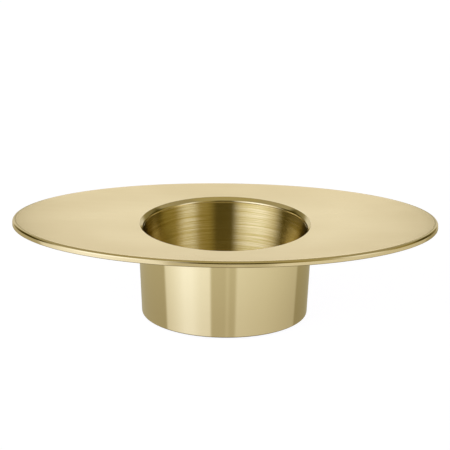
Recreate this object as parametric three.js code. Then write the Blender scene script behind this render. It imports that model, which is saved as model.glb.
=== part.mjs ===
// Oval brass tea-light holder: a shallow oval brim soldered to a round, tapered cup on a felt pad.
// Sizes are in millimetres, +Z is up and +X runs along the brim.
// The origin is on the table, under the middle of the cup.

import * as THREE from "three";

// Brim: an oval plate, its height at the hole, and how far it rises from there to its sides and ends
const BRIM_LENGTH = 110;
const BRIM_WIDTH = 64.9;
const BRIM_HEIGHT = 24.2;
const BRIM_SIDE_RISE = 0.55;
const BRIM_END_RISE = 0.9;
const PLATE_THICKNESS = 1.6;

// Edges of the brim: the oval rolls over into an upright edge, eased below, and the hole is bevelled
const ROLL_WIDTH = 0.7;
const ROLL_HEIGHT = 0.55;
const EDGE_EASING = 0.4;
const HOLE_BEVEL_WIDTH = 0.7;
const HOLE_BEVEL_DEPTH = 0.85;
const HOLE_LAND = 0.1;

// Cup: a tapered sleeve, measured outside at the brim and at the foot
const CUP_RIM_DIAMETER = 45;
const CUP_FOOT_DIAMETER = 42.7;
const CUP_WALL = 1.4;
const FOOT_WALL = 0.7;
const FOOT_EDGE_RADIUS = 0.3;

// Spigot: the stepped end of the sleeve that seats in the underside of the brim
const SPIGOT_LENGTH = 0.3;
const SPIGOT_STEP = 0.4;

// Solder: the gap it fills in a joint, and the run of it that shows under the brim
const SOLDER_GAP = 0.05;
const SOLDER_LEG = 0.9;

// Floor of the cup: a stepped disc whose flange seats under a ledge in the sleeve
const FLOOR_THICKNESS = 1.4;
const FLOOR_FLANGE = 0.8;

// Felt pad let into the foot below the floor
const PAD_THICKNESS = 1.2;
const PAD_STANDS_PROUD = 0.4;
const PAD_MARGIN = 0.6;

// Fineness of round forms: steps in a full turn and in a rounded edge
const TURN_STEPS = 96;
const EDGE_STEPS = 4;

// Heights above the table
const footBottom = PAD_STANDS_PROUD;
const floorBottom = PAD_THICKNESS;
const ledgeHeight = floorBottom + FLOOR_FLANGE;
const floorTop = floorBottom + FLOOR_THICKNESS;
const plateBottom = BRIM_HEIGHT - PLATE_THICKNESS;
const spigotTop = plateBottom + SPIGOT_LENGTH;

// Radii from the cup's axis
const rimRadius = CUP_RIM_DIAMETER / 2;
const footRadius = CUP_FOOT_DIAMETER / 2;
const spigotRadius = rimRadius - SPIGOT_STEP;
const cornerRadius = rimRadius + SOLDER_GAP;
const solderRadius = cornerRadius + SOLDER_LEG;
const rebateRadius = footRadius - FOOT_WALL;
const flangeRadius = rebateRadius - SOLDER_GAP;
const padRadius = rebateRadius - PAD_MARGIN;

function outsideRadius(height) {
  return THREE.MathUtils.mapLinear(height, footBottom, plateBottom, footRadius, rimRadius);
}

function insideRadius(height) {
  return outsideRadius(height) - CUP_WALL;
}

const ledgeRadius = insideRadius(ledgeHeight);
const holeRadius = insideRadius(spigotTop);
const bevelDepth = Math.min(HOLE_BEVEL_DEPTH, PLATE_THICKNESS - SPIGOT_LENGTH - HOLE_LAND);

// A solid turned about the upright axis from a profile of radius and height.
function turned(profile) {
  const points = profile.getPoints(EDGE_STEPS);
  return new THREE.LatheGeometry(points, TURN_STEPS).rotateX(Math.PI / 2);
}

// A ring-shaped solid skinned over rings of points, which follow each other round its section.
function lofted(rings) {
  const corner = (ring, turn) => (ring % rings.length) * TURN_STEPS + (turn % TURN_STEPS);
  const triangles = [];
  for (let ring = 0; ring < rings.length; ring += 1) {
    for (let turn = 0; turn < TURN_STEPS; turn += 1) {
      const start = corner(ring, turn);
      const end = corner(ring + 1, turn + 1);
      triangles.push(start, corner(ring + 1, turn), end);
      triangles.push(start, end, corner(ring, turn + 1));
    }
  }
  const geometry = new THREE.BufferGeometry().setFromPoints(rings.flat());
  geometry.setIndex(triangles);
  geometry.computeVertexNormals();
  return geometry;
}

function ringOf(pointAt) {
  return Array.from({ length: TURN_STEPS }, (_, step) => pointAt((2 * Math.PI * step) / TURN_STEPS));
}

// A ring of the brim round its hole, from a radius and a height.
function holeRing({ x: radius, y: height }) {
  return ringOf((angle) => new THREE.Vector3(radius * Math.cos(angle), radius * Math.sin(angle), height));
}

// How far the brim has risen at a radius on its oval edge.
function riseAt(radius) {
  return THREE.MathUtils.mapLinear(radius, BRIM_WIDTH / 2, BRIM_LENGTH / 2, BRIM_SIDE_RISE, BRIM_END_RISE);
}

// A ring of the brim that keeps a distance from its oval edge, lifted by the rise of the plate.
function edgeRing({ x: outwards, y: height }) {
  return ringOf((angle) => {
    const across = Math.cos(angle);
    const along = Math.sin(angle);
    const facing = new THREE.Vector2(BRIM_WIDTH * across, BRIM_LENGTH * along).normalize();
    const point = new THREE.Vector2((BRIM_LENGTH / 2) * across, (BRIM_WIDTH / 2) * along);
    const rise = riseAt(point.length());
    point.addScaledVector(facing, outwards);
    return new THREE.Vector3(point.x, point.y, height + rise);
  });
}

// A quarter of an ellipse in a section, clockwise from an angle.
function quarterRound(x, y, reach, rise, startAngle) {
  const curve = new THREE.EllipseCurve(x, y, reach, rise, startAngle, startAngle - Math.PI / 2, true);
  return curve.getPoints(EDGE_STEPS);
}

// The brim: the seat for the spigot, the bevelled hole, and the edge that rolls over.
function brimPlate() {
  const seatRadius = spigotRadius + SOLDER_GAP;
  const hole = [
    new THREE.Vector2(solderRadius, plateBottom),
    new THREE.Vector2(seatRadius, plateBottom),
    new THREE.Vector2(seatRadius, spigotTop),
    new THREE.Vector2(holeRadius, spigotTop),
    new THREE.Vector2(holeRadius, BRIM_HEIGHT - bevelDepth),
    new THREE.Vector2(holeRadius + HOLE_BEVEL_WIDTH, BRIM_HEIGHT),
  ];
  const over = quarterRound(-ROLL_WIDTH, BRIM_HEIGHT - ROLL_HEIGHT, ROLL_WIDTH, ROLL_HEIGHT, Math.PI / 2);
  const under = quarterRound(-EDGE_EASING, plateBottom + EDGE_EASING, EDGE_EASING, EDGE_EASING, 0);
  return lofted([...hole.map(holeRing), ...[...over, ...under].map(edgeRing)]);
}

// The sleeve: up the outside from its rounded foot, over the spigot and down the inside to the ledge.
function cupWall() {
  const radius = Math.min(FOOT_EDGE_RADIUS, FOOT_WALL / 2);
  const profile = new THREE.Path();
  profile.moveTo(rebateRadius, footBottom);
  profile.absarc(footRadius - radius, footBottom + radius, radius, -Math.PI / 2, 0, false);
  profile.lineTo(rimRadius, plateBottom);
  profile.lineTo(spigotRadius, plateBottom);
  profile.lineTo(spigotRadius, spigotTop);
  profile.lineTo(holeRadius, spigotTop);
  profile.lineTo(ledgeRadius, ledgeHeight);
  profile.lineTo(rebateRadius, ledgeHeight);
  profile.closePath();
  return turned(profile);
}

// The floor: a flange that fits the rebate, and a plug that rises through the ledge into the cup.
function cupFloor() {
  const plugRadius = ledgeRadius - SOLDER_GAP;
  const profile = new THREE.Path();
  profile.moveTo(0, floorBottom);
  profile.lineTo(flangeRadius, floorBottom);
  profile.lineTo(flangeRadius, ledgeHeight);
  profile.lineTo(plugRadius, ledgeHeight);
  profile.lineTo(plugRadius, floorTop);
  profile.lineTo(0, floorTop);
  return turned(profile);
}

function basePad() {
  const profile = new THREE.Path();
  profile.moveTo(0, 0);
  profile.lineTo(padRadius, 0);
  profile.lineTo(padRadius, floorBottom);
  profile.lineTo(0, floorBottom);
  return turned(profile);
}

// The hollow-faced run of solder in the corner between the brim's underside and the cup.
function solderFillet() {
  const bottom = plateBottom - SOLDER_LEG;
  const profile = new THREE.Path();
  profile.moveTo(outsideRadius(bottom) + SOLDER_GAP, bottom);
  profile.quadraticCurveTo(cornerRadius, plateBottom, solderRadius, plateBottom);
  profile.lineTo(cornerRadius, plateBottom);
  profile.closePath();
  return turned(profile);
}

function piece(name, geometry, color, roughness, metalness) {
  const material = new THREE.MeshStandardMaterial({ color, roughness, metalness });
  const mesh = new THREE.Mesh(geometry, material);
  mesh.name = name;
  return mesh;
}

const holder = new THREE.Group();
holder.add(
  piece("brim_plate", brimPlate(), 0xdcc893, 0.35, 1),
  piece("cup_wall", cupWall(), 0xe3cf97, 0.12, 1),
  piece("cup_floor", cupFloor(), 0xcdb67a, 0.4, 1),
  piece("solder_fillet", solderFillet(), 0xd6c9a2, 0.45, 1),
  piece("base_pad", basePad(), 0x2c2a26, 0.95, 0),
);

export default holder;
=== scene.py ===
# Oval brass tea light holder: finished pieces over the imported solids, a soft studio and a camera.
# Lengths are in metres, +Z is up, +X runs along the brim and the camera stands on the -Y side.

import math

import bpy
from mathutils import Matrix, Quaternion, Vector


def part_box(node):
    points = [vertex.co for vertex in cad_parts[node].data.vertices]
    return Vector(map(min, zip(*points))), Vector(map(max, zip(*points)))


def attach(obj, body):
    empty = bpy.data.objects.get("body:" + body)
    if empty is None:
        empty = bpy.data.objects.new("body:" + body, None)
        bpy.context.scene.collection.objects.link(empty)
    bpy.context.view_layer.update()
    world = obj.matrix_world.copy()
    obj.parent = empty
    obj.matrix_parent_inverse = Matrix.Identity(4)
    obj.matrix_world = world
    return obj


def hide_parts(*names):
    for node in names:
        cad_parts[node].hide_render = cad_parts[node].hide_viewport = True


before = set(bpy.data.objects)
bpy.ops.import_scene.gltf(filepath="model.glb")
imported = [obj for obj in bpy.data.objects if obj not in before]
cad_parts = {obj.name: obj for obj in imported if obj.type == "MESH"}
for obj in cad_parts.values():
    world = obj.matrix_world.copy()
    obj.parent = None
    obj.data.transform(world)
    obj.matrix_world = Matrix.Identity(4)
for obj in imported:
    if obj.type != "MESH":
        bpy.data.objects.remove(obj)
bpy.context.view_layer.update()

MM = 0.001
MICRON = 0.000001

# Brim: its plate, its rise from the hole to the sides and ends, and its edges
PLATE_THICKNESS = 1.6 * MM
BRIM_SIDE_RISE = 0.55 * MM
BRIM_END_RISE = 0.9 * MM
ROLL_WIDTH = 0.85 * MM
ROLL_HEIGHT = 0.75 * MM
EDGE_EASING = 0.25 * MM
HOLE_BEVEL_WIDTH = 1.02 * MM
HOLE_BEVEL_DEPTH = 0.87 * MM
HOLE_LIP_ROUNDING = 0.75 * MM
BEVEL_SOFTNESS = 0.04 * MM

# Cup: its foot outside, its wall, the wall and edge of its foot, and the spigot in the brim
CUP_FOOT_RADIUS = 21.35 * MM
CUP_WALL = 1.4 * MM
FOOT_WALL = 0.7 * MM
FOOT_EDGE_RADIUS = 0.35 * MM
SPIGOT_LENGTH = 0.3 * MM
SPIGOT_STEP = 0.4 * MM

# Joints: the gap left for solder, and the broken corner where brim and cup meet inside the hole
SEAT_GAP = 0.05 * MM
SEAM_CHAMFER = 0.06 * MM

# Floor: its flange, its upper edge and the turning marks on it
FLOOR_FLANGE = 0.8 * MM
FLOOR_EDGE_CHAMFER = 0.15 * MM
TURNING_MARK_PITCH = 0.5 * MM
TURNING_MARK_DEPTH = 0.008 * MM

# Felt: how far its cut edge is pressed round, the rings of its mesh and the lumps in it
FELT_EDGE_RADIUS = 0.35 * MM
FELT_RING_PITCH = 0.4 * MM
FELT_LUMPS = 0.06 * MM
FELT_LUMP_SIZE = 0.7 * MM

# Solder: the lumps left where it was wiped
SOLDER_LUMPS = 0.04 * MM
SOLDER_LUMP_SIZE = 1.6 * MM

# Meshes: steps in a full turn, out to the oval and in rounded edges, the loop beside such an edge,
# the distance within which points are one, and the angle from which a corner is crisp
STEPS_ROUND = 320
STEPS_OUT = 10
EDGE_STEPS = 12
FELT_EDGE_STEPS = 6
EDGE_SUPPORT = 0.15 * MM
MERGE_DISTANCE = MICRON
SHARP_ANGLE = math.radians(32)

brim_low, brim_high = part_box("brim_plate")
wall_low, wall_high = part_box("cup_wall")
floor_low, floor_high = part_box("cup_floor")
solder_low, solder_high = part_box("solder_fillet")
felt_low, felt_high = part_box("base_pad")

HALF_LENGTH = brim_high.x
HALF_WIDTH = brim_high.y
BRIM_HEIGHT = brim_low.z + PLATE_THICKNESS
CUP_RIM_RADIUS = wall_high.x
FLOOR_RADIUS = floor_high.x
SOLDER_RADIUS = solder_high.x
FELT_RADIUS = felt_high.x


def outside_radius(height):
    share = (height - wall_low.z) / (brim_low.z - wall_low.z)
    return CUP_FOOT_RADIUS + share * (CUP_RIM_RADIUS - CUP_FOOT_RADIUS)


def inside_radius(height):
    return outside_radius(height) - CUP_WALL


SPIGOT_TOP = brim_low.z + SPIGOT_LENGTH
SPIGOT_RADIUS = CUP_RIM_RADIUS - SPIGOT_STEP
HOLE_RADIUS = inside_radius(SPIGOT_TOP)
PLATE_RADIUS = HOLE_RADIUS + HOLE_BEVEL_WIDTH
LEDGE_HEIGHT = floor_low.z + FLOOR_FLANGE
LEDGE_RADIUS = inside_radius(LEDGE_HEIGHT)
REBATE_RADIUS = CUP_FOOT_RADIUS - FOOT_WALL


# Node helpers


def pick(sockets, key):
    """A socket by its place, or the first one in use with that name."""
    if isinstance(key, int):
        return sockets[key]
    return next(socket for socket in sockets if socket.name == key and socket.enabled)


def join(tree, node, inputs):
    """Links or sets inputs of a node, each given by its place or name."""
    for key, value in inputs.items():
        socket = pick(node.inputs, key)
        if isinstance(value, bpy.types.NodeSocket):
            tree.links.new(value, socket)
        else:
            socket.default_value = value


def add(tree, kind, inputs=None, **settings):
    """A new node with its settings and inputs."""
    node = tree.nodes.new(kind)
    for name, value in settings.items():
        setattr(node, name, value)
    join(tree, node, inputs or {})
    return node


def made(tree, kind, inputs=None, **settings):
    """The first output in use of a new node."""
    node = add(tree, kind, inputs, **settings)
    return next(socket for socket in node.outputs if socket.enabled)


def maths(tree, operation, *values):
    """The result of a Math node on one, two or three numbers or sockets."""
    return made(tree, "ShaderNodeMath", dict(enumerate(values)), operation=operation)


def vectors(tree, operation, *values):
    """The result of a Vector Math node on vectors or sockets."""
    return made(tree, "ShaderNodeVectorMath", dict(enumerate(values)), operation=operation)


def combine(tree, x=0.0, y=0.0, z=0.0):
    return made(tree, "ShaderNodeCombineXYZ", {"X": x, "Y": y, "Z": z})


def separate(tree, vector):
    return add(tree, "ShaderNodeSeparateXYZ", {0: vector}).outputs


def between(tree, value, span, results=(0.0, 1.0), kind="SMOOTHSTEP"):
    """A step from the first result to the second, as the value goes from end to end of a span."""
    inputs = {
        "Value": value,
        "From Min": span[0],
        "From Max": span[1],
        "To Min": results[0],
        "To Max": results[1],
    }
    return made(tree, "ShaderNodeMapRange", inputs, interpolation_type=kind)


def blend(tree, kind, share, first, second):
    """A share of the second over the first, for numbers, vectors or colours."""
    inputs = {"Factor": share, "A": first, "B": second}
    return made(tree, "ShaderNodeMix", inputs, data_type=kind)


# Profiles: points with x outwards and z up, that run up the inner side and down the outer side

# Directions in a profile, in degrees
OUTWARDS = 0
UP = 90
INWARDS = 180
DOWN = -90


def arc_angles(start, end, steps):
    """Angles in radians, from one direction in a profile to another."""
    for step in range(steps + 1):
        yield math.radians(start + (end - start) * step / steps)


class Profile:
    """The section of a turned piece.

    Each point has marks: its share of the way out to the oval, its inset from the oval's edge,
    and whether it is polished or belongs to the lining.
    """

    MARKS = ("oval", "inset", "polish", "lining")

    def __init__(self):
        self.points = []
        self.marks = {mark: [] for mark in self.MARKS}

    def to(self, x, z, **marks):
        """Adds a point."""
        self.points.append((x, 0.0, z))
        for mark in self.MARKS:
            self.marks[mark].append(float(marks.get(mark, 0.0)))
        return self

    def arc(self, centre, radii, start, end, steps=EDGE_STEPS, **marks):
        """Adds an elliptical arc."""
        for angle in arc_angles(start, end, steps):
            x = centre[0] + radii[0] * math.cos(angle)
            z = centre[1] + radii[1] * math.sin(angle)
            self.to(x, z, **marks)

    def oval_arc(self, height, radii, start, end, **marks):
        """Adds a rounded edge of the oval."""
        for angle in arc_angles(start, end, EDGE_STEPS):
            inset = radii[0] * (1 - math.cos(angle))
            self.to(0.0, height + radii[1] * math.sin(angle), oval=1, inset=inset, **marks)

    def close(self):
        """Ends the section on its first point."""
        x, _, z = self.points[0]
        return self.to(x, z, **{mark: values[0] for mark, values in self.marks.items()})


def brim_profile():
    """From the seam in the hole up its lip and bevel, out over the roll and back to the seat."""
    top, bottom = BRIM_HEIGHT, brim_low.z
    seat_radius = SPIGOT_RADIUS + SEAT_GAP
    bevel_slope = HOLE_BEVEL_DEPTH / HOLE_BEVEL_WIDTH
    bevel_angle = math.degrees(math.atan2(HOLE_BEVEL_DEPTH, HOLE_BEVEL_WIDTH))
    lip_drop = HOLE_LIP_ROUNDING * math.tan(math.radians((UP - bevel_angle) / 2))
    lip = (HOLE_LIP_ROUNDING, HOLE_LIP_ROUNDING)
    lip_centre = (HOLE_RADIUS + HOLE_LIP_ROUNDING, top - HOLE_BEVEL_DEPTH - lip_drop)
    roll = (ROLL_WIDTH, ROLL_HEIGHT)
    easing = (EDGE_EASING, EDGE_EASING)
    profile = Profile()
    profile.to(HOLE_RADIUS + SEAM_CHAMFER, SPIGOT_TOP, polish=1)
    profile.to(HOLE_RADIUS, SPIGOT_TOP + SEAM_CHAMFER, polish=1)
    profile.arc(lip_centre, lip, INWARDS, UP + bevel_angle, polish=1)

    # The bevel meets the plate in a soft corner, with a quarter of its drop left at the middle
    soft_drop = BEVEL_SOFTNESS * bevel_slope
    profile.to(PLATE_RADIUS - BEVEL_SOFTNESS, top - soft_drop, polish=1)
    profile.to(PLATE_RADIUS, top - soft_drop / 4, polish=0.5)
    profile.to(PLATE_RADIUS + BEVEL_SOFTNESS, top)

    profile.to(PLATE_RADIUS + EDGE_SUPPORT, top)
    for step in range(1, STEPS_OUT):
        profile.to(PLATE_RADIUS, top, oval=step / STEPS_OUT, inset=ROLL_WIDTH)
    profile.to(0.0, top, oval=1, inset=ROLL_WIDTH + EDGE_SUPPORT)
    profile.oval_arc(top - ROLL_HEIGHT, roll, UP, OUTWARDS, polish=1)
    profile.oval_arc(bottom + EDGE_EASING, easing, OUTWARDS, DOWN, polish=1)
    profile.to(0.0, bottom, oval=1, inset=EDGE_EASING + EDGE_SUPPORT)
    for step in reversed(range(STEPS_OUT)):
        profile.to(SOLDER_RADIUS, bottom, oval=step / STEPS_OUT, inset=EDGE_EASING)
    profile.to(seat_radius, bottom)
    profile.to(seat_radius, SPIGOT_TOP)
    return profile.close()


def cup_profile():
    """From the ledge up the lining, over the spigot, down the outside and round the foot."""
    foot, rim = wall_low.z, brim_low.z
    chamfered = SPIGOT_TOP - SEAM_CHAMFER
    rounded = foot + FOOT_EDGE_RADIUS + EDGE_SUPPORT
    edge = (FOOT_EDGE_RADIUS, FOOT_EDGE_RADIUS)
    edge_centre = (CUP_FOOT_RADIUS - FOOT_EDGE_RADIUS, foot + FOOT_EDGE_RADIUS)
    profile = Profile()
    profile.to(LEDGE_RADIUS, LEDGE_HEIGHT, lining=1)
    profile.to(inside_radius(chamfered), chamfered, lining=1)
    profile.to(HOLE_RADIUS + SEAM_CHAMFER, SPIGOT_TOP, polish=1)
    profile.to(SPIGOT_RADIUS, SPIGOT_TOP, polish=1)
    profile.to(SPIGOT_RADIUS, rim, polish=1)
    profile.to(CUP_RIM_RADIUS, rim, polish=1)
    profile.to(outside_radius(rounded), rounded, polish=1)
    profile.arc(edge_centre, edge, OUTWARDS, DOWN, polish=1)
    profile.to(REBATE_RADIUS, foot, polish=1)
    profile.to(REBATE_RADIUS, LEDGE_HEIGHT)
    return profile.close()


def floor_profile():
    """From the axis out over the turning marks, down the plug and flange, and back below."""
    top, bottom = floor_high.z, floor_low.z
    plug_radius = LEDGE_RADIUS - SEAT_GAP
    marks = round((plug_radius - FLOOR_EDGE_CHAMFER) / TURNING_MARK_PITCH)
    profile = Profile()
    for step in range(2 * marks):
        groove = TURNING_MARK_DEPTH if step % 2 else 0.0
        profile.to(step * TURNING_MARK_PITCH / 2, top - groove)
    profile.to(plug_radius - FLOOR_EDGE_CHAMFER, top)
    profile.to(plug_radius, top - FLOOR_EDGE_CHAMFER)
    profile.to(plug_radius, LEDGE_HEIGHT)
    profile.to(FLOOR_RADIUS, LEDGE_HEIGHT)
    profile.to(FLOOR_RADIUS, bottom)
    profile.to(0.0, bottom)
    return profile


def solder_profile():
    """Up the cup's wall into the corner, out under the brim, and back over a hollow face."""
    top, bottom = solder_high.z, solder_low.z
    inner = outside_radius(bottom) + SEAT_GAP
    corner = CUP_RIM_RADIUS + SEAT_GAP
    reach = (SOLDER_RADIUS - inner, top - bottom)
    profile = Profile()
    profile.to(inner, bottom)
    profile.to(corner, top)
    profile.arc((SOLDER_RADIUS, bottom), reach, UP, INWARDS)
    return profile


def felt_profile():
    """From the axis out over the top, round the pressed edge, and back below in rings."""
    rounding = (FELT_EDGE_RADIUS, FELT_EDGE_RADIUS)
    edge = FELT_RADIUS - FELT_EDGE_RADIUS
    upper_centre = (edge, felt_high.z - FELT_EDGE_RADIUS)
    lower_centre = (edge, felt_low.z + FELT_EDGE_RADIUS)
    rings = round(edge / FELT_RING_PITCH)
    profile = Profile()
    profile.to(0.0, felt_high.z)
    profile.to(edge - EDGE_SUPPORT, felt_high.z)
    profile.arc(upper_centre, rounding, UP, OUTWARDS, FELT_EDGE_STEPS)
    profile.arc(lower_centre, rounding, OUTWARDS, DOWN, FELT_EDGE_STEPS)
    for ring in reversed(range(rings)):
        profile.to(edge * ring / rings, felt_low.z)
    return profile


# Turning: one Geometry Nodes tree sweeps a profile round the axis, or out to an oval

TURNING_INPUTS = {
    "Profile": "NodeSocketGeometry",
    "Half Length": "NodeSocketFloat",
    "Half Width": "NodeSocketFloat",
    "Side Rise": "NodeSocketFloat",
    "End Rise": "NodeSocketFloat",
    "Lumps": "NodeSocketFloat",
    "Lump Size": "NodeSocketFloat",
    "Steps Round": "NodeSocketInt",
    "Sharp Angle": "NodeSocketFloat",
    "Material": "NodeSocketMaterial",
    "Lining Material": "NodeSocketMaterial",
}

# Detail in the lumps, and the mark from which a face belongs to the lining
LUMP_DETAIL = 2.0
LINED = 0.9


def turning_tree():
    tree = bpy.data.node_groups.new("turned_from_profile", "GeometryNodeTree")
    for name, kind in TURNING_INPUTS.items():
        tree.interface.new_socket(name, in_out="INPUT", socket_type=kind)
    tree.interface.new_socket("Piece", in_out="OUTPUT", socket_type="NodeSocketGeometry")
    given = add(tree, "NodeGroupInput").outputs
    profile_input = {"Geometry": given["Profile"]}
    size = add(tree, "GeometryNodeAttributeDomainSize", profile_input, component="MESH")
    count = size.outputs["Point Count"]
    columns = maths(tree, "ADD", given["Steps Round"], 1)
    grid = made(tree, "GeometryNodeMeshGrid", {"Vertices X": columns, "Vertices Y": count})

    # Each point of the grid knows its place on the profile and its share of the turn
    index_inputs = {0: made(tree, "GeometryNodeInputIndex"), 1: count}
    place = made(tree, "FunctionNodeIntegerMath", index_inputs, operation="MODULO")
    ring = made(tree, "FunctionNodeIntegerMath", index_inputs, operation="DIVIDE_FLOOR")
    turn = maths(tree, "DIVIDE", ring, given["Steps Round"])
    angle = maths(tree, "MULTIPLY", turn, -math.tau)
    across = maths(tree, "COSINE", angle)
    along = maths(tree, "SINE", angle)

    def on_profile(value, data_type):
        inputs = {"Geometry": given["Profile"], "Value": value, "Index": place}
        return made(tree, "GeometryNodeSampleIndex", inputs, data_type=data_type, domain="POINT")

    def named(name):
        kind = "GeometryNodeInputNamedAttribute"
        return made(tree, kind, {"Name": name}, data_type="FLOAT")

    def mark(name):
        return on_profile(named(name), "FLOAT")

    def on_ellipse(half_x, half_y):
        return maths(tree, "MULTIPLY", half_x, across), maths(tree, "MULTIPLY", half_y, along)

    here = made(tree, "GeometryNodeInputPosition")
    section = separate(tree, on_profile(here, "FLOAT_VECTOR"))
    radius, height = section["X"], section["Z"]

    # A round point, and a point set squarely in from the oval's edge, which rises to its ends
    half_length, half_width = given["Half Length"], given["Half Width"]
    round_point = combine(tree, *on_ellipse(radius, radius), height)
    facing = vectors(tree, "NORMALIZE", combine(tree, *on_ellipse(half_width, half_length)))
    inwards = vectors(tree, "MULTIPLY", facing, (-1.0, -1.0, 0.0))
    edge_x, edge_y = on_ellipse(half_length, half_width)
    reach = vectors(tree, "LENGTH", combine(tree, edge_x, edge_y))
    rises = (given["Side Rise"], given["End Rise"])
    rise = between(tree, reach, (half_width, half_length), rises, "LINEAR")
    edge = combine(tree, edge_x, edge_y, maths(tree, "ADD", height, rise))
    inset = mark("inset")
    oval_point = vectors(tree, "MULTIPLY_ADD", inwards, combine(tree, inset, inset), edge)
    swept = blend(tree, "VECTOR", mark("oval"), round_point, oval_point)

    def keep(shape, name, value, data_type="FLOAT", domain="POINT"):
        kind = "GeometryNodeStoreNamedAttribute"
        inputs = {"Geometry": shape, "Name": name, "Value": value}
        return made(tree, kind, inputs, data_type=data_type, domain=domain)

    shape = keep(grid, "polish", mark("polish"))
    shape = keep(shape, "lining", mark("lining"))
    shape = keep(shape, "turn", turn)
    shape = made(tree, "GeometryNodeSetPosition", {"Geometry": shape, "Position": swept})

    # Maps: round and up for turned finishes, and straight down for lengthwise ones
    around = combine(tree, named("turn"), separate(tree, here)["Z"])
    shape = keep(shape, "around", around, "FLOAT2", "CORNER")
    shape = keep(shape, "lengthwise", here, "FLOAT2", "CORNER")

    # Seams and poles are closed, and soft pieces get lumps, which only sink into them
    merge_inputs = {"Geometry": shape, "Distance": MERGE_DISTANCE}
    shape = made(tree, "GeometryNodeMergeByDistance", merge_inputs)
    lump_scale = maths(tree, "DIVIDE", 1.0, given["Lump Size"])
    lump_inputs = {"Vector": here, "Scale": lump_scale, "Detail": LUMP_DETAIL}
    sunk = maths(tree, "SUBTRACT", made(tree, "ShaderNodeTexNoise", lump_inputs), 1.0)
    depth = maths(tree, "MULTIPLY", sunk, given["Lumps"])
    outwards = made(tree, "GeometryNodeInputNormal")
    dent = vectors(tree, "MULTIPLY", outwards, combine(tree, depth, depth, depth))
    shape = made(tree, "GeometryNodeSetPosition", {"Geometry": shape, "Offset": dent})

    def exceeds(value, limit):
        inputs = {"A": value, "B": limit}
        return made(tree, "FunctionNodeCompare", inputs, operation="GREATER_THAN")

    # Corners stay crisp
    shape = made(tree, "GeometryNodeSetShadeSmooth", {"Geometry": shape}, domain="FACE")
    bend = add(tree, "GeometryNodeInputMeshEdgeAngle").outputs["Unsigned Angle"]
    sharp = exceeds(bend, given["Sharp Angle"])
    sharp_inputs = {"Geometry": shape, "Selection": sharp, "Shade Smooth": False}
    shape = made(tree, "GeometryNodeSetShadeSmooth", sharp_inputs, domain="EDGE")

    # The lining has its own material
    outer_inputs = {"Geometry": shape, "Material": given["Material"]}
    shape = made(tree, "GeometryNodeSetMaterial", outer_inputs)
    lined = exceeds(named("lining"), LINED)
    lining_inputs = {"Geometry": shape, "Selection": lined, "Material": given["Lining Material"]}
    shape = made(tree, "GeometryNodeSetMaterial", lining_inputs)
    add(tree, "NodeGroupOutput", {"Piece": shape})
    return tree


TURNING = turning_tree()


def turned_piece(name, profile, material, lining=None, lumps=0.0, lump_size=MM):
    """A finished piece: the profile turned by the tree, as a plain mesh at the origin."""
    mesh = bpy.data.meshes.new(name)
    mesh.from_pydata(profile.points, [], [])
    for mark, values in profile.marks.items():
        mesh.attributes.new(mark, "FLOAT", "POINT").data.foreach_set("value", values)
    piece = bpy.data.objects.new(name, mesh)
    bpy.context.scene.collection.objects.link(piece)
    modifier = piece.modifiers.new("turning", "NODES")
    modifier.node_group = TURNING
    values = {
        "Half Length": HALF_LENGTH,
        "Half Width": HALF_WIDTH,
        "Side Rise": BRIM_SIDE_RISE,
        "End Rise": BRIM_END_RISE,
        "Lumps": lumps,
        "Lump Size": lump_size,
        "Steps Round": STEPS_ROUND,
        "Sharp Angle": SHARP_ANGLE,
        "Material": material,
        "Lining Material": lining or material,
    }
    for item in TURNING.interface.items_tree:
        if item.in_out == "INPUT" and item.name in values:
            modifier[item.identifier] = values[item.name]
    evaluated = piece.evaluated_get(bpy.context.evaluated_depsgraph_get())
    piece.data = bpy.data.meshes.new_from_object(evaluated)
    piece.data.name = name
    piece.modifiers.clear()
    bpy.data.meshes.remove(mesh)
    return piece


# Finishes: their colours

SATIN = (0.90, 0.785, 0.505, 1.0)
# Satin's deep tone, which also serves as the painted shade at the brim's edge
SATIN_DEEP_AND_SHADED = (0.85, 0.72, 0.44, 1.0)
POLISHED = (0.91, 0.80, 0.51, 1.0)
# The polish at the foot, darkened by painted shade where it mirrors the floor's shadow
POLISHED_SHADED_FOOT = (0.77, 0.66, 0.41, 1.0)
BRUSHED = (0.84, 0.71, 0.42, 1.0)
BRUSHED_DEEP = (0.62, 0.48, 0.15, 1.0)
GRAZING = (0.03, 0.015, 0.0, 1.0)
PITS = (0.42, 0.32, 0.16, 1.0)
SOLDER_PALE = (0.80, 0.76, 0.62, 1.0)
SOLDER_DULL = (0.62, 0.55, 0.38, 1.0)
FELT_DARK = (0.014, 0.013, 0.011, 1.0)
FELT_LIGHT = (0.045, 0.041, 0.035, 1.0)

# The part of a noise that tones and roughness are spread over
NOISE_SPAN = (0.3, 0.7)
WIDE_SPAN = (0.25, 0.75)
BRUSHED_SPAN = (0.38, 0.62)
SMEAR_SPAN = (0.35, 0.7)
FELT_SPAN = (0.35, 0.65)

QUARTER_TURN = 0.25


def new_finish(name, metallic):
    material = bpy.data.materials.new(name)
    material.use_nodes = True
    shader = material.node_tree.nodes["Principled BSDF"]
    shader.inputs["Metallic"].default_value = metallic
    return material, material.node_tree, shader


def own_place(tree):
    """Points in the piece's own space."""
    return add(tree, "ShaderNodeTexCoord").outputs["Object"]


def noise(tree, place, scale, detail=2.0, roughness=0.5):
    """Noise with a number of grains per metre along each axis."""
    mapped = made(tree, "ShaderNodeMapping", {"Vector": place, "Scale": scale})
    inputs = {"Vector": mapped, "Scale": 1.0, "Detail": detail, "Roughness": roughness}
    return made(tree, "ShaderNodeTexNoise", inputs)


def mixture(tree, first, second, share):
    """A share of the first, and the rest of the second."""
    rest = maths(tree, "MULTIPLY", second, 1 - share)
    return maths(tree, "MULTIPLY_ADD", first, share, rest)


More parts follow.
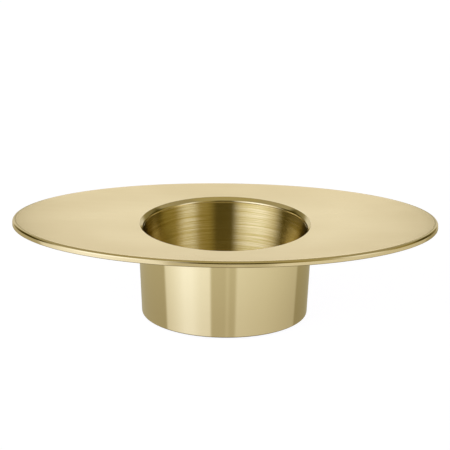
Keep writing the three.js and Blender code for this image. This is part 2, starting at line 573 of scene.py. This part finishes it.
def relief(tree, height, depth, lean=0.0):
    """Fine relief. A lean tilts the surface up first, as brush lines cut from above do."""
    facing = add(tree, "ShaderNodeNewGeometry").outputs["Normal"]
    leaning = vectors(tree, "NORMALIZE", vectors(tree, "ADD", facing, (0.0, 0.0, lean)))
    inputs = {"Height": height, "Distance": depth, "Strength": 1.0, "Normal": leaning}
    return made(tree, "ShaderNodeBump", inputs)


def grain(tree, uv_map, anisotropy):
    """Inputs that stretch highlights across brush lines along the first axis of a map."""
    tangent = made(tree, "ShaderNodeTangent", direction_type="UV_MAP", uv_map=uv_map)
    return {
        "Tangent": tangent,
        "Anisotropic": anisotropy,
        "Anisotropic Rotation": QUARTER_TURN,
    }


# Pits: cells per metre, the size of a pit and of its flat core, and the share of cells with one
PIT_CELLS = 160.0
PIT_RADIUS = 0.16 * MM
PIT_CORE = 0.4
PIT_SHARE = 0.1


def few_pits(tree):
    """1 in a few small pits, and 0 elsewhere."""
    inputs = {"Vector": own_place(tree), "Scale": PIT_CELLS}
    cells = add(tree, "ShaderNodeTexVoronoi", inputs).outputs
    wide = PIT_RADIUS * PIT_CELLS
    near = between(tree, cells["Distance"], (wide * PIT_CORE, wide), (1.0, 0.0))
    chance = made(tree, "ShaderNodeSeparateColor", {0: cells["Color"]})
    return maths(tree, "MULTIPLY", near, maths(tree, "LESS_THAN", chance, PIT_SHARE))


# Satin: grains per metre along each axis, tones, painted shade towards the edge, roughness, depth
# and stretch of highlights
SATIN_LINES = (60, 7000, 60)
SATIN_STREAKS = (14, 900, 14)
SATIN_CLOUDS = (45, 70, 45)
SATIN_STREAK_SHARE = 0.5
SATIN_TONES = (0.0, 0.3)
# Painted shade: where on the way out to the oval the brim starts to darken, and by how much
SATIN_EDGE_SHADE_SPAN = (0.55, 0.95)
SATIN_EDGE_SHADES = (0.0, 0.5)
SATIN_ROUGHNESS = (0.245, 0.265)
SATIN_LINE_ROUGHNESS = 0.08
SATIN_POLISH_ROUGHNESS = 0.12
SATIN_LINE_DEPTH = 2.0 * MICRON
SATIN_ANISOTROPY = 0.4


def satin_brass():
    """Brushed along the brim, with painted shade towards its edge, polished edges and some pits."""
    material, tree, shader = new_finish("satin_brass", 1.0)
    place = own_place(tree)
    lines = noise(tree, place, SATIN_LINES, detail=3.0, roughness=0.6)
    streaks = noise(tree, place, SATIN_STREAKS)
    clouds = noise(tree, place, SATIN_CLOUDS, detail=3.0)
    polish = add(tree, "ShaderNodeAttribute", attribute_name="polish").outputs["Fac"]
    tone = mixture(tree, streaks, clouds, SATIN_STREAK_SHARE)
    oval = vectors(tree, "MULTIPLY", place, (1 / HALF_LENGTH, 1 / HALF_WIDTH, 0.0))
    outwards = vectors(tree, "LENGTH", oval)
    # Painted shade that darkens the brim towards its oval edge and leaves it lighter beside the
    # hole
    edge_shade = between(tree, outwards, SATIN_EDGE_SHADE_SPAN, SATIN_EDGE_SHADES)
    deep = maths(tree, "ADD", between(tree, tone, NOISE_SPAN, SATIN_TONES), edge_shade)
    metal = blend(tree, "RGBA", deep, SATIN, SATIN_DEEP_AND_SHADED)
    cloudy = between(tree, clouds, NOISE_SPAN, SATIN_ROUGHNESS)
    satin = maths(tree, "MULTIPLY_ADD", lines, SATIN_LINE_ROUGHNESS, cloudy)
    unpolished = maths(tree, "MULTIPLY", lines, maths(tree, "SUBTRACT", 1.0, polish))
    join(tree, shader, {
        "Base Color": blend(tree, "RGBA", few_pits(tree), metal, PITS),
        "Roughness": blend(tree, "FLOAT", polish, satin, SATIN_POLISH_ROUGHNESS),
        "Normal": relief(tree, unpolished, SATIN_LINE_DEPTH),
        **grain(tree, "lengthwise", SATIN_ANISOTROPY),
    })
    return material


# Mirror polish: its wiping marks, the painted shade that darkens it towards the foot, and its waves
WIPES = (90, 90, 260)
WIPE_TONE = 0.1
WIPE_ROUGHNESS = (0.07, 0.09)
FOOT_SHADE_TONES = (0.0, 0.9)
WAVES = (160, 160, 60)
WAVE_DEPTH = 5.0 * MICRON


def polished_brass():
    """A mirror polish, with slow waves and faint wiping marks, and painted shade that darkens it
    towards the foot.
    """
    material, tree, shader = new_finish("polished_brass", 1.0)
    place = own_place(tree)
    wipes = noise(tree, place, WIPES, detail=3.0, roughness=0.6)
    waves = noise(tree, place, WAVES, detail=1.0)
    # Painted shade: the cup darkens from the brim down to its foot, where it mirrors the floor's
    # shadow
    darkened = between(tree, separate(tree, place)["Z"], (brim_low.z, wall_low.z), FOOT_SHADE_TONES)
    tone = maths(tree, "MULTIPLY_ADD", wipes, WIPE_TONE, darkened)
    join(tree, shader, {
        "Base Color": blend(tree, "RGBA", tone, POLISHED, POLISHED_SHADED_FOOT),
        "Roughness": between(tree, wipes, NOISE_SPAN, WIPE_ROUGHNESS),
        "Normal": relief(tree, waves, WAVE_DEPTH),
    })
    return material


# Brushed lining: its fine and deep lines, roughness, depth, lean and stretch of highlights
BRUSH_LINES = (70, 70, 9000)
BRUSH_DEEP_LINES = (45, 45, 1900)
BRUSH_LINE_SHARE = 0.7
BRUSH_ROUGHNESS = (0.20, 0.25)
BRUSH_DEPTH = 2.0 * MICRON
BRUSH_LEAN = 0.42
BRUSH_ANISOTROPY = 1.0


def brushed_brass():
    """Brushed round the inside of the cup, in lines of mixed depth."""
    material, tree, shader = new_finish("brushed_brass", 1.0)
    place = own_place(tree)
    lines = noise(tree, place, BRUSH_LINES, detail=3.0, roughness=0.65)
    deep_lines = noise(tree, place, BRUSH_DEEP_LINES, roughness=0.6)
    tone = mixture(tree, lines, deep_lines, BRUSH_LINE_SHARE)
    deep = between(tree, tone, BRUSHED_SPAN)
    join(tree, shader, {
        "Base Color": blend(tree, "RGBA", deep, BRUSHED, BRUSHED_DEEP),
        "Roughness": between(tree, tone, WIDE_SPAN, BRUSH_ROUGHNESS),
        "Specular Tint": GRAZING,
        "Normal": relief(tree, tone, BRUSH_DEPTH, BRUSH_LEAN),
        **grain(tree, "around", BRUSH_ANISOTROPY),
    })
    return material


# Turned rings: their grains per metre along X, along Y and outwards, roughness and depth
RINGS = (40, 40, 5000)
RING_ROUGHNESS = (0.28, 0.4)
RING_DEPTH = 3.0 * MICRON


def turned_brass():
    """Fine rings from the lathe."""
    material, tree, shader = new_finish("turned_brass", 1.0)
    parts = separate(tree, own_place(tree))
    radius = vectors(tree, "LENGTH", combine(tree, parts["X"], parts["Y"]))
    place = combine(tree, parts["X"], parts["Y"], radius)
    rings = noise(tree, place, RINGS, detail=3.0, roughness=0.6)
    deep = between(tree, rings, NOISE_SPAN)
    join(tree, shader, {
        "Base Color": blend(tree, "RGBA", deep, BRUSHED, BRUSHED_DEEP),
        "Roughness": between(tree, rings, WIDE_SPAN, RING_ROUGHNESS),
        "Normal": relief(tree, rings, RING_DEPTH),
    })
    return material


# Solder: its smears, with their roughness and depth
SMEARS = (700, 700, 700)
SMEAR_ROUGHNESS = (0.3, 0.5)
SMEAR_DEPTH = 20.0 * MICRON


def wiped_solder():
    """Pale filler metal, a little dull where it was wiped."""
    material, tree, shader = new_finish("wiped_solder", 1.0)
    smears = noise(tree, own_place(tree), SMEARS, detail=3.0, roughness=0.6)
    darkened = between(tree, smears, SMEAR_SPAN)
    join(tree, shader, {
        "Base Color": blend(tree, "RGBA", darkened, SOLDER_PALE, SOLDER_DULL),
        "Roughness": between(tree, smears, NOISE_SPAN, SMEAR_ROUGHNESS),
        "Normal": relief(tree, smears, SMEAR_DEPTH),
    })
    return material


# Felt: its mat and fibres, roughness, shine and nap
FELT_MAT = (900, 900, 900)
FELT_FIBRES = (6000, 2200, 4000)
FELT_FIBRE_SHARE = 0.6
FELT_ROUGHNESS = (0.85, 1.0)
FELT_SPECULAR = 0.2
FELT_SHEEN = 0.3
FELT_SHEEN_ROUGHNESS = 0.5
FELT_NAP = 120.0 * MICRON


def pressed_felt():
    """Matted wool, with short fibres that catch the light."""
    material, tree, shader = new_finish("pressed_felt", 0.0)
    place = own_place(tree)
    mat = noise(tree, place, FELT_MAT, detail=4.0, roughness=0.7)
    fibres = noise(tree, place, FELT_FIBRES, detail=3.0, roughness=0.7)
    tone = mixture(tree, fibres, mat, FELT_FIBRE_SHARE)
    pale = between(tree, tone, FELT_SPAN)
    join(tree, shader, {
        "Base Color": blend(tree, "RGBA", pale, FELT_DARK, FELT_LIGHT),
        "Roughness": between(tree, tone, NOISE_SPAN, FELT_ROUGHNESS),
        "Specular IOR Level": FELT_SPECULAR,
        "Sheen Weight": FELT_SHEEN,
        "Sheen Roughness": FELT_SHEEN_ROUGHNESS,
        "Normal": relief(tree, tone, FELT_NAP),
    })
    return material


# Pieces


def placed(piece, node):
    """Lets a piece stand for its CAD node."""
    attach(piece, "root")
    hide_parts(node)


brim = turned_piece("oval_brim", brim_profile(), satin_brass())
placed(brim, "brim_plate")

cup = turned_piece("tapered_cup", cup_profile(), polished_brass(), lining=brushed_brass())
placed(cup, "cup_wall")

disc = turned_piece("turned_floor", floor_profile(), turned_brass())
placed(disc, "cup_floor")

solder = turned_piece(
    "solder_run",
    solder_profile(),
    wiped_solder(),
    lumps=SOLDER_LUMPS,
    lump_size=SOLDER_LUMP_SIZE,
)
placed(solder, "solder_fillet")

felt = turned_piece(
    "felt_pad",
    felt_profile(),
    pressed_felt(),
    lumps=FELT_LUMPS,
    lump_size=FELT_LUMP_SIZE,
)
placed(felt, "base_pad")


# Studio: a room of soft light and dark zones that the metal reflects, a soft box and a floor

CAMERA_WHITE = (1.0, 1.0, 1.0, 1.0)

# Rings round the room: degrees from the camera round to the right, level and warmth
LOW_ROOM = [
    (-180, 0.46, 0.35),
    (-92, 0.45, 0.36),
    (-89, 0.80, 0.10),
    (-75, 0.91, 0.03),
    (-58, 1.06, -0.08),
    (-47, 1.06, -0.08),
    (-34, 0.95, 0.00),
    (-21, 0.92, 0.03),
    (-18, 0.55, 0.29),
    (0, 0.54, 0.30),
    (4, 0.62, 0.25),
    (8, 0.54, 0.30),
    (14, 0.55, 0.29),
    (18, 0.76, 0.15),
    (60, 0.69, 0.20),
    (116, 0.55, 0.28),
    (119, 0.36, 0.43),
    (154, 0.37, 0.43),
    (180, 0.46, 0.35),
]
HIGH_ROOM = [
    (-180, 0.43, 0.25),
    (-171, 0.45, 0.25),
    (-165, 0.64, 0.18),
    (-151, 0.70, 0.15),
    (-145, 0.26, 0.60),
    (-137, 0.20, 0.60),
    (-128, 0.05, 1.00),
    (-96, 0.05, 1.00),
    (-90, 0.10, 0.95),
    (-74, 0.90, 0.12),
    (-55, 1.32, -0.18),
    (-35, 1.20, -0.10),
    (-22, 0.84, 0.05),
    (-10, 0.06, 1.00),
    (13, 0.05, 1.00),
    (25, 0.30, 0.75),
    (39, 0.39, 0.62),
    (50, 0.90, 0.02),
    (62, 0.90, 0.02),
    (76, 0.33, 0.73),
    (96, 0.28, 0.80),
    (109, 0.05, 1.00),
    (128, 0.05, 1.00),
    (137, 0.20, 0.60),
    (149, 0.24, 0.65),
    (155, 0.66, 0.18),
    (165, 0.64, 0.18),
    (171, 0.45, 0.25),
    (180, 0.43, 0.25),
]
CEILING = [
    (-180, 0.36, 0.45),
    (0, 0.38, 0.45),
    (60, 0.32, 0.45),
    (180, 0.36, 0.45),
]
BEHIND = (0.63, 0.57, 0.43, 1.0)
BELOW = (0.20, 0.175, 0.12, 1.0)
ZENITH = (0.39, 0.34, 0.17, 1.0)

# Degrees up over which each zone takes over from the one before it, the bearings at which the
# zone behind does, and how much higher the ceiling starts in front
BELOW_SPAN = (-34, -50)
BEHIND_SPAN = (-17, -12)
HIGH_SPAN = (0, 8)
CEILING_SPAN = (36, 42)
ZENITH_SPAN = (64, 70)
BEHIND_BEARINGS = (math.radians(142), math.radians(148))
FRONT_RISE = 21.0


def lit(level, warmth):
    """A light with a share of its blue taken out, and a quarter as much of its green."""
    return (level, level * (1 - warmth / 4), level * (1 - warmth), 1.0)


def room_ring(tree, share, lights):
    """The lights of a ring, by the share of the way round."""
    node = add(tree, "ShaderNodeValToRGB", {0: share})
    elements = node.color_ramp.elements
    while len(elements) < len(lights):
        elements.new(1.0)
    for element, (degrees, level, warmth) in zip(elements, lights):
        element.position = (degrees + 180) / 360
        element.color = lit(level, warmth)
    return node.outputs[0]


def soft_studio():
    """Light that depends on its direction only. The camera itself sees plain white."""
    world = bpy.data.worlds.new("soft_studio")
    bpy.context.scene.world = world
    world.use_nodes = True
    tree = world.node_tree
    tree.nodes.clear()
    parts = separate(tree, add(tree, "ShaderNodeTexCoord").outputs["Generated"])
    towards = maths(tree, "MULTIPLY", parts["Y"], -1.0)
    bearing = maths(tree, "ARCTAN2", parts["X"], towards)
    share = maths(tree, "MULTIPLY_ADD", bearing, 1 / math.tau, 0.5)
    height = maths(tree, "DEGREES", maths(tree, "ARCSINE", parts["Z"]))
    far_round = between(tree, maths(tree, "ABSOLUTE", bearing), BEHIND_BEARINGS)
    behind = maths(tree, "MULTIPLY", far_round, between(tree, height, BEHIND_SPAN))
    in_front = maths(tree, "MAXIMUM", towards, 0.0)
    lowered = maths(tree, "MULTIPLY_ADD", in_front, -FRONT_RISE, height)
    zones = [
        (behind, BEHIND),
        (between(tree, height, BELOW_SPAN), BELOW),
        (between(tree, height, HIGH_SPAN), room_ring(tree, share, HIGH_ROOM)),
        (between(tree, lowered, CEILING_SPAN), room_ring(tree, share, CEILING)),
        (between(tree, height, ZENITH_SPAN), ZENITH),
        (add(tree, "ShaderNodeLightPath").outputs["Is Camera Ray"], CAMERA_WHITE),
    ]
    room = room_ring(tree, share, LOW_ROOM)
    for zone, light in zones:
        room = blend(tree, "RGBA", zone, room, light)
    surface = made(tree, "ShaderNodeBackground", {"Color": room, "Strength": 1.0})
    add(tree, "ShaderNodeOutputWorld", {"Surface": surface})


# A soft box close behind, that the brim mirrors to the camera
BACK_BOX_PLACE = Vector((0.0, 0.35, 0.157))
BACK_BOX_WIDTH = 0.125
BACK_BOX_HEIGHT = 0.115
BACK_BOX_LEVEL = 0.75
BACK_BOX_TINT = (1.0, 0.985, 0.995)


def back_box():
    data = bpy.data.lights.new("back_box", "AREA")
    data.shape = "RECTANGLE"
    data.size = BACK_BOX_WIDTH
    data.size_y = BACK_BOX_HEIGHT
    data.energy = BACK_BOX_LEVEL * math.pi * BACK_BOX_WIDTH * BACK_BOX_HEIGHT
    data.color = BACK_BOX_TINT
    box = bpy.data.objects.new("back_box", data)
    bpy.context.scene.collection.objects.link(box)
    box.location = BACK_BOX_PLACE
    towards = Vector((0.0, 0.0, BRIM_HEIGHT)) - BACK_BOX_PLACE
    box.rotation_euler = towards.to_track_quat("-Z", "Y").to_euler()
    box.visible_camera = False


# The paper it stands on: half its width, its own light and its paint
PAPER_HALF = 2.0
PAPER_GLOW = (0.93, 0.935, 0.965, 1.0)
PAPER_PAINT = (0.2, 0.2, 0.2, 1.0)


def pale_floor():
    """White paper that keeps a faint shadow. The polished cup sees the room through it."""
    mesh = bpy.data.meshes.new("pale_floor")
    ends = [(-1, -1), (1, -1), (1, 1), (-1, 1)]
    corners = [(PAPER_HALF * x, PAPER_HALF * y, 0.0) for x, y in ends]
    mesh.from_pydata(corners, [], [(0, 1, 2, 3)])
    floor = bpy.data.objects.new("pale_floor", mesh)
    bpy.context.scene.collection.objects.link(floor)
    material = bpy.data.materials.new("pale_paper")
    material.use_nodes = True
    tree = material.node_tree
    tree.nodes.clear()
    glow = made(tree, "ShaderNodeEmission", {"Color": PAPER_GLOW, "Strength": 1.0})
    paint = made(tree, "ShaderNodeBsdfDiffuse", {"Color": PAPER_PAINT})
    paper = made(tree, "ShaderNodeAddShader", {0: glow, 1: paint})
    clear = made(tree, "ShaderNodeBsdfTransparent")
    reflected = add(tree, "ShaderNodeLightPath").outputs["Is Glossy Ray"]
    below = add(tree, "ShaderNodeNewGeometry").outputs["Backfacing"]
    see_through = maths(tree, "MAXIMUM", reflected, below)
    surface = made(tree, "ShaderNodeMixShader", {0: see_through, 1: paper, 2: clear})
    add(tree, "ShaderNodeOutputMaterial", {"Surface": surface})
    mesh.materials.append(material)


soft_studio()
back_box()
pale_floor()


# Camera: a long lens from the photo's angle, a little rolled, that aims just below the brim's top

SENSOR_WIDTH = 36.0
CAMERA_ELEVATION = math.radians(18.5)
CAMERA_ROLL = math.radians(0.6)
CAMERA_DISTANCE = 1.4
CAMERA_REACH = (0.01, 10.0)
FIELD_WIDTH = 116.2 * MM
AIM_ASIDE = -0.06 * MM
AIM_DROP = 0.42 * MM


def photo_camera():
    data = bpy.data.cameras.new("photo_camera")
    data.sensor_width = SENSOR_WIDTH
    data.lens = SENSOR_WIDTH * CAMERA_DISTANCE / FIELD_WIDTH
    data.clip_start, data.clip_end = CAMERA_REACH
    camera = bpy.data.objects.new("photo_camera", data)
    bpy.context.scene.collection.objects.link(camera)
    aim = Vector((AIM_ASIDE, 0.0, BRIM_HEIGHT - AIM_DROP))
    back = Vector((0.0, -math.cos(CAMERA_ELEVATION), math.sin(CAMERA_ELEVATION)))
    camera.location = aim + back * CAMERA_DISTANCE
    camera.rotation_mode = "QUATERNION"
    level = (-back).to_track_quat("-Z", "Y")
    camera.rotation_quaternion = level @ Quaternion((0.0, 0.0, 1.0), CAMERA_ROLL)
    bpy.context.scene.camera = camera


photo_camera()
bpy.context.scene.view_settings.view_transform = "Standard"
